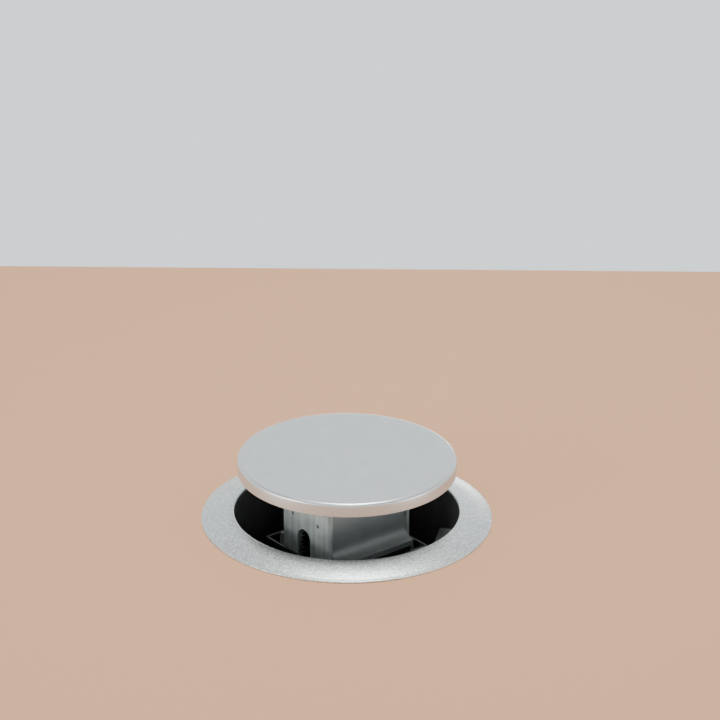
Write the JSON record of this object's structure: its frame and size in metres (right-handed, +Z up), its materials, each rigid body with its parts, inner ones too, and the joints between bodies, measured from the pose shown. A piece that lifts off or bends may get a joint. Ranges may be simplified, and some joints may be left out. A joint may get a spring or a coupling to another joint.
{
  "type": "pop-up desk power column",
  "caption": "Round silver desk grommet whose lid lifts a steel column with shuttered socket modules and data jacks on both faces.",
  "frame": {"origin": "centre of the desk ring, on the desk top", "axes": "+Z up along the column, +X across the column's wide face, -Y out of the front socket face"},
  "size_m": [0.16, 0.16, 0.2728],
  "materials": {
    "silver_paint": "satin metallic silver paint",
    "black_plastic": "fine-grained black moulding",
    "barrel_plastic": "dark grey moulding",
    "galvanised": "galvanised sheet, drawn along its length",
    "black_coat": "satin black coat on steel",
    "grey_housing": "satin grey",
    "zinc_screw": "bright zinc",
    "brass": "bright",
    "white_nylon": "natural nylon",
    "grey_shutter": "fine",
    "zinc_casting": "raw zinc casting",
    "rubber": "matte",
    "wire": "insulated"
  },
  "bodies": {
    "base": {"desk_ring": "silver_paint", "ring_gasket": "rubber", "barrel": "barrel_plastic", "guide_sleeve": "black_coat", "chassis_screws": "zinc_screw", "glide_pads": "white_nylon", "guide_blocks": "white_nylon", "left_spring_motor": "barrel_plastic", "right_spring_motor": "barrel_plastic", "latch_block": "black_plastic", "latch_pin": "zinc_screw"},
    "column": {"lid": "silver_paint", "lid_backing": "black_plastic", "lid_bracket": "galvanised", "lid_screws": "zinc_screw", "latch_striker": "zinc_screw", "left_channel": "galvanised", "right_channel": "galvanised", "channel_rivets": "zinc_screw", "left_rack": "zinc_screw", "right_rack": "zinc_screw", "front_housing": "grey_housing", "back_housing": "grey_housing", "socket_front_upper": "black_plastic", "socket_front_lower": "black_plastic", "socket_back_upper": "black_plastic", "socket_back_lower": "black_plastic", "shutter_spring_front_upper": "zinc_screw", "shutter_spring_front_lower": "zinc_screw", "shutter_spring_back_upper": "zinc_screw", "shutter_spring_back_lower": "zinc_screw", "live_bars": "brass", "neutral_bars": "brass", "earth_bars": "brass", "data_plate_front": "black_plastic", "data_plate_back": "black_plastic", "data_jacks": "barrel_plastic", "bottom_plate": "galvanised", "mains_inlet": "black_plastic", "inlet_blades": "zinc_screw", "inlet_wires": "wire", "cable_grommets": "rubber"},
    "left_pinion": {"left_pinion": "white_nylon"},
    "right_pinion": {"right_pinion": "white_nylon"},
    "latch_hook": {"latch_hook": "brass"},
    "shutter_front_upper": {"shutter_front_upper": "grey_shutter"},
    "shutter_front_lower": {"shutter_front_lower": "grey_shutter"},
    "shutter_back_upper": {"shutter_back_upper": "grey_shutter"},
    "shutter_back_lower": {"shutter_back_lower": "grey_shutter"},
    "clamp_screw_a": {"clamp_screw_a": "zinc_screw"},
    "clamp_nut_a": {"clamp_nut_a": "brass"},
    "clamp_claw_a": {"clamp_claw_a": "zinc_casting"},
    "clamp_screw_b": {"clamp_screw_b": "zinc_screw"},
    "clamp_nut_b": {"clamp_nut_b": "brass"},
    "clamp_claw_b": {"clamp_claw_b": "zinc_casting"},
    "clamp_screw_c": {"clamp_screw_c": "zinc_screw"},
    "clamp_nut_c": {"clamp_nut_c": "brass"},
    "clamp_claw_c": {"clamp_claw_c": "zinc_casting"}
  },
  "joints": [
    {"name": "column_lift", "type": "slide", "parent": "base", "child": "column", "axis": [0, 0, 1], "range_m": [-0.0314, 0.18]},
    {"name": "left_pinion_spin", "type": "hinge", "parent": "base", "child": "left_pinion", "pos_m": [0, 0.001, -0.0364], "axis": [1, 0, 0], "range_deg": [-501, 2866]},
    {"name": "right_pinion_spin", "type": "hinge", "parent": "base", "child": "right_pinion", "pos_m": [0, 0.001, -0.0364], "axis": [1, 0, 0], "range_deg": [-501, 2866]},
    {"name": "latch_hook_swing", "type": "hinge", "parent": "base", "child": "latch_hook", "pos_m": [0.0405, 0.028, -0.03], "axis": [1, 0, 0], "range_deg": [0, 6], "stiffness_Nm_per_rad": 0.01},
    {"name": "shutter_front_upper_slide", "type": "slide", "parent": "column", "child": "shutter_front_upper", "axis": [0, 0, -1], "range_m": [0, 0.0057], "stiffness_N_per_m": 200, "springref_m": -0.0005, "deforming": ["shutter_spring_front_upper"]},
    {"name": "shutter_front_lower_slide", "type": "slide", "parent": "column", "child": "shutter_front_lower", "axis": [0, 0, -1], "range_m": [0, 0.0057], "stiffness_N_per_m": 200, "springref_m": -0.0005, "deforming": ["shutter_spring_front_lower"]},
    {"name": "shutter_back_upper_slide", "type": "slide", "parent": "column", "child": "shutter_back_upper", "axis": [0, 0, -1], "range_m": [0, 0.0057], "stiffness_N_per_m": 200, "springref_m": -0.0005, "deforming": ["shutter_spring_back_upper"]},
    {"name": "shutter_back_lower_slide", "type": "slide", "parent": "column", "child": "shutter_back_lower", "axis": [0, 0, -1], "range_m": [0, 0.0057], "stiffness_N_per_m": 200, "springref_m": -0.0005, "deforming": ["shutter_spring_back_lower"]},
    {"name": "clamp_nut_a_travel", "type": "slide", "parent": "base", "child": "clamp_nut_a", "axis": [0, 0, 1], "range_m": [-0.009, 0.009]},
    {"name": "clamp_screw_a_turn", "type": "hinge", "parent": "base", "child": "clamp_screw_a", "pos_m": [0.02007, 0.05228, -0.03], "axis": [0, 0, 1], "range_deg": [-4052, 4052]},
    {"name": "clamp_claw_a_swing", "type": "hinge", "parent": "clamp_nut_a", "child": "clamp_claw_a", "pos_m": [0.02007, 0.05228, -0.03], "axis": [0, 0, 1], "range_deg": [0, 90]},
    {"name": "clamp_nut_b_travel", "type": "slide", "parent": "base", "child": "clamp_nut_b", "axis": [0, 0, 1], "range_m": [-0.009, 0.009]},
    {"name": "clamp_screw_b_turn", "type": "hinge", "parent": "base", "child": "clamp_screw_b", "pos_m": [-0.05531, -0.00876, -0.03], "axis": [0, 0, 1], "range_deg": [-4052, 4052]},
    {"name": "clamp_claw_b_swing", "type": "hinge", "parent": "clamp_nut_b", "child": "clamp_claw_b", "pos_m": [-0.05531, -0.00876, -0.03], "axis": [0, 0, 1], "range_deg": [0, 90]},
    {"name": "clamp_nut_c_travel", "type": "slide", "parent": "base", "child": "clamp_nut_c", "axis": [0, 0, 1], "range_m": [-0.009, 0.009]},
    {"name": "clamp_screw_c_turn", "type": "hinge", "parent": "base", "child": "clamp_screw_c", "pos_m": [0.03524, -0.04352, -0.03], "axis": [0, 0, 1], "range_deg": [-4052, 4052]},
    {"name": "clamp_claw_c_swing", "type": "hinge", "parent": "clamp_nut_c", "child": "clamp_claw_c", "pos_m": [0.03524, -0.04352, -0.03], "axis": [0, 0, 1], "range_deg": [0, 90]}
  ],
  "couplings": [
    {"joint": "left_pinion_spin", "follows": "column_lift", "rad_per_m": 277.78},
    {"joint": "right_pinion_spin", "follows": "column_lift", "rad_per_m": 277.78},
    {"joint": "clamp_screw_a_turn", "follows": "clamp_nut_a_travel", "rad_per_m": -7854},
    {"joint": "clamp_screw_b_turn", "follows": "clamp_nut_b_travel", "rad_per_m": -7854},
    {"joint": "clamp_screw_c_turn", "follows": "clamp_nut_c_travel", "rad_per_m": -7854}
  ]
}
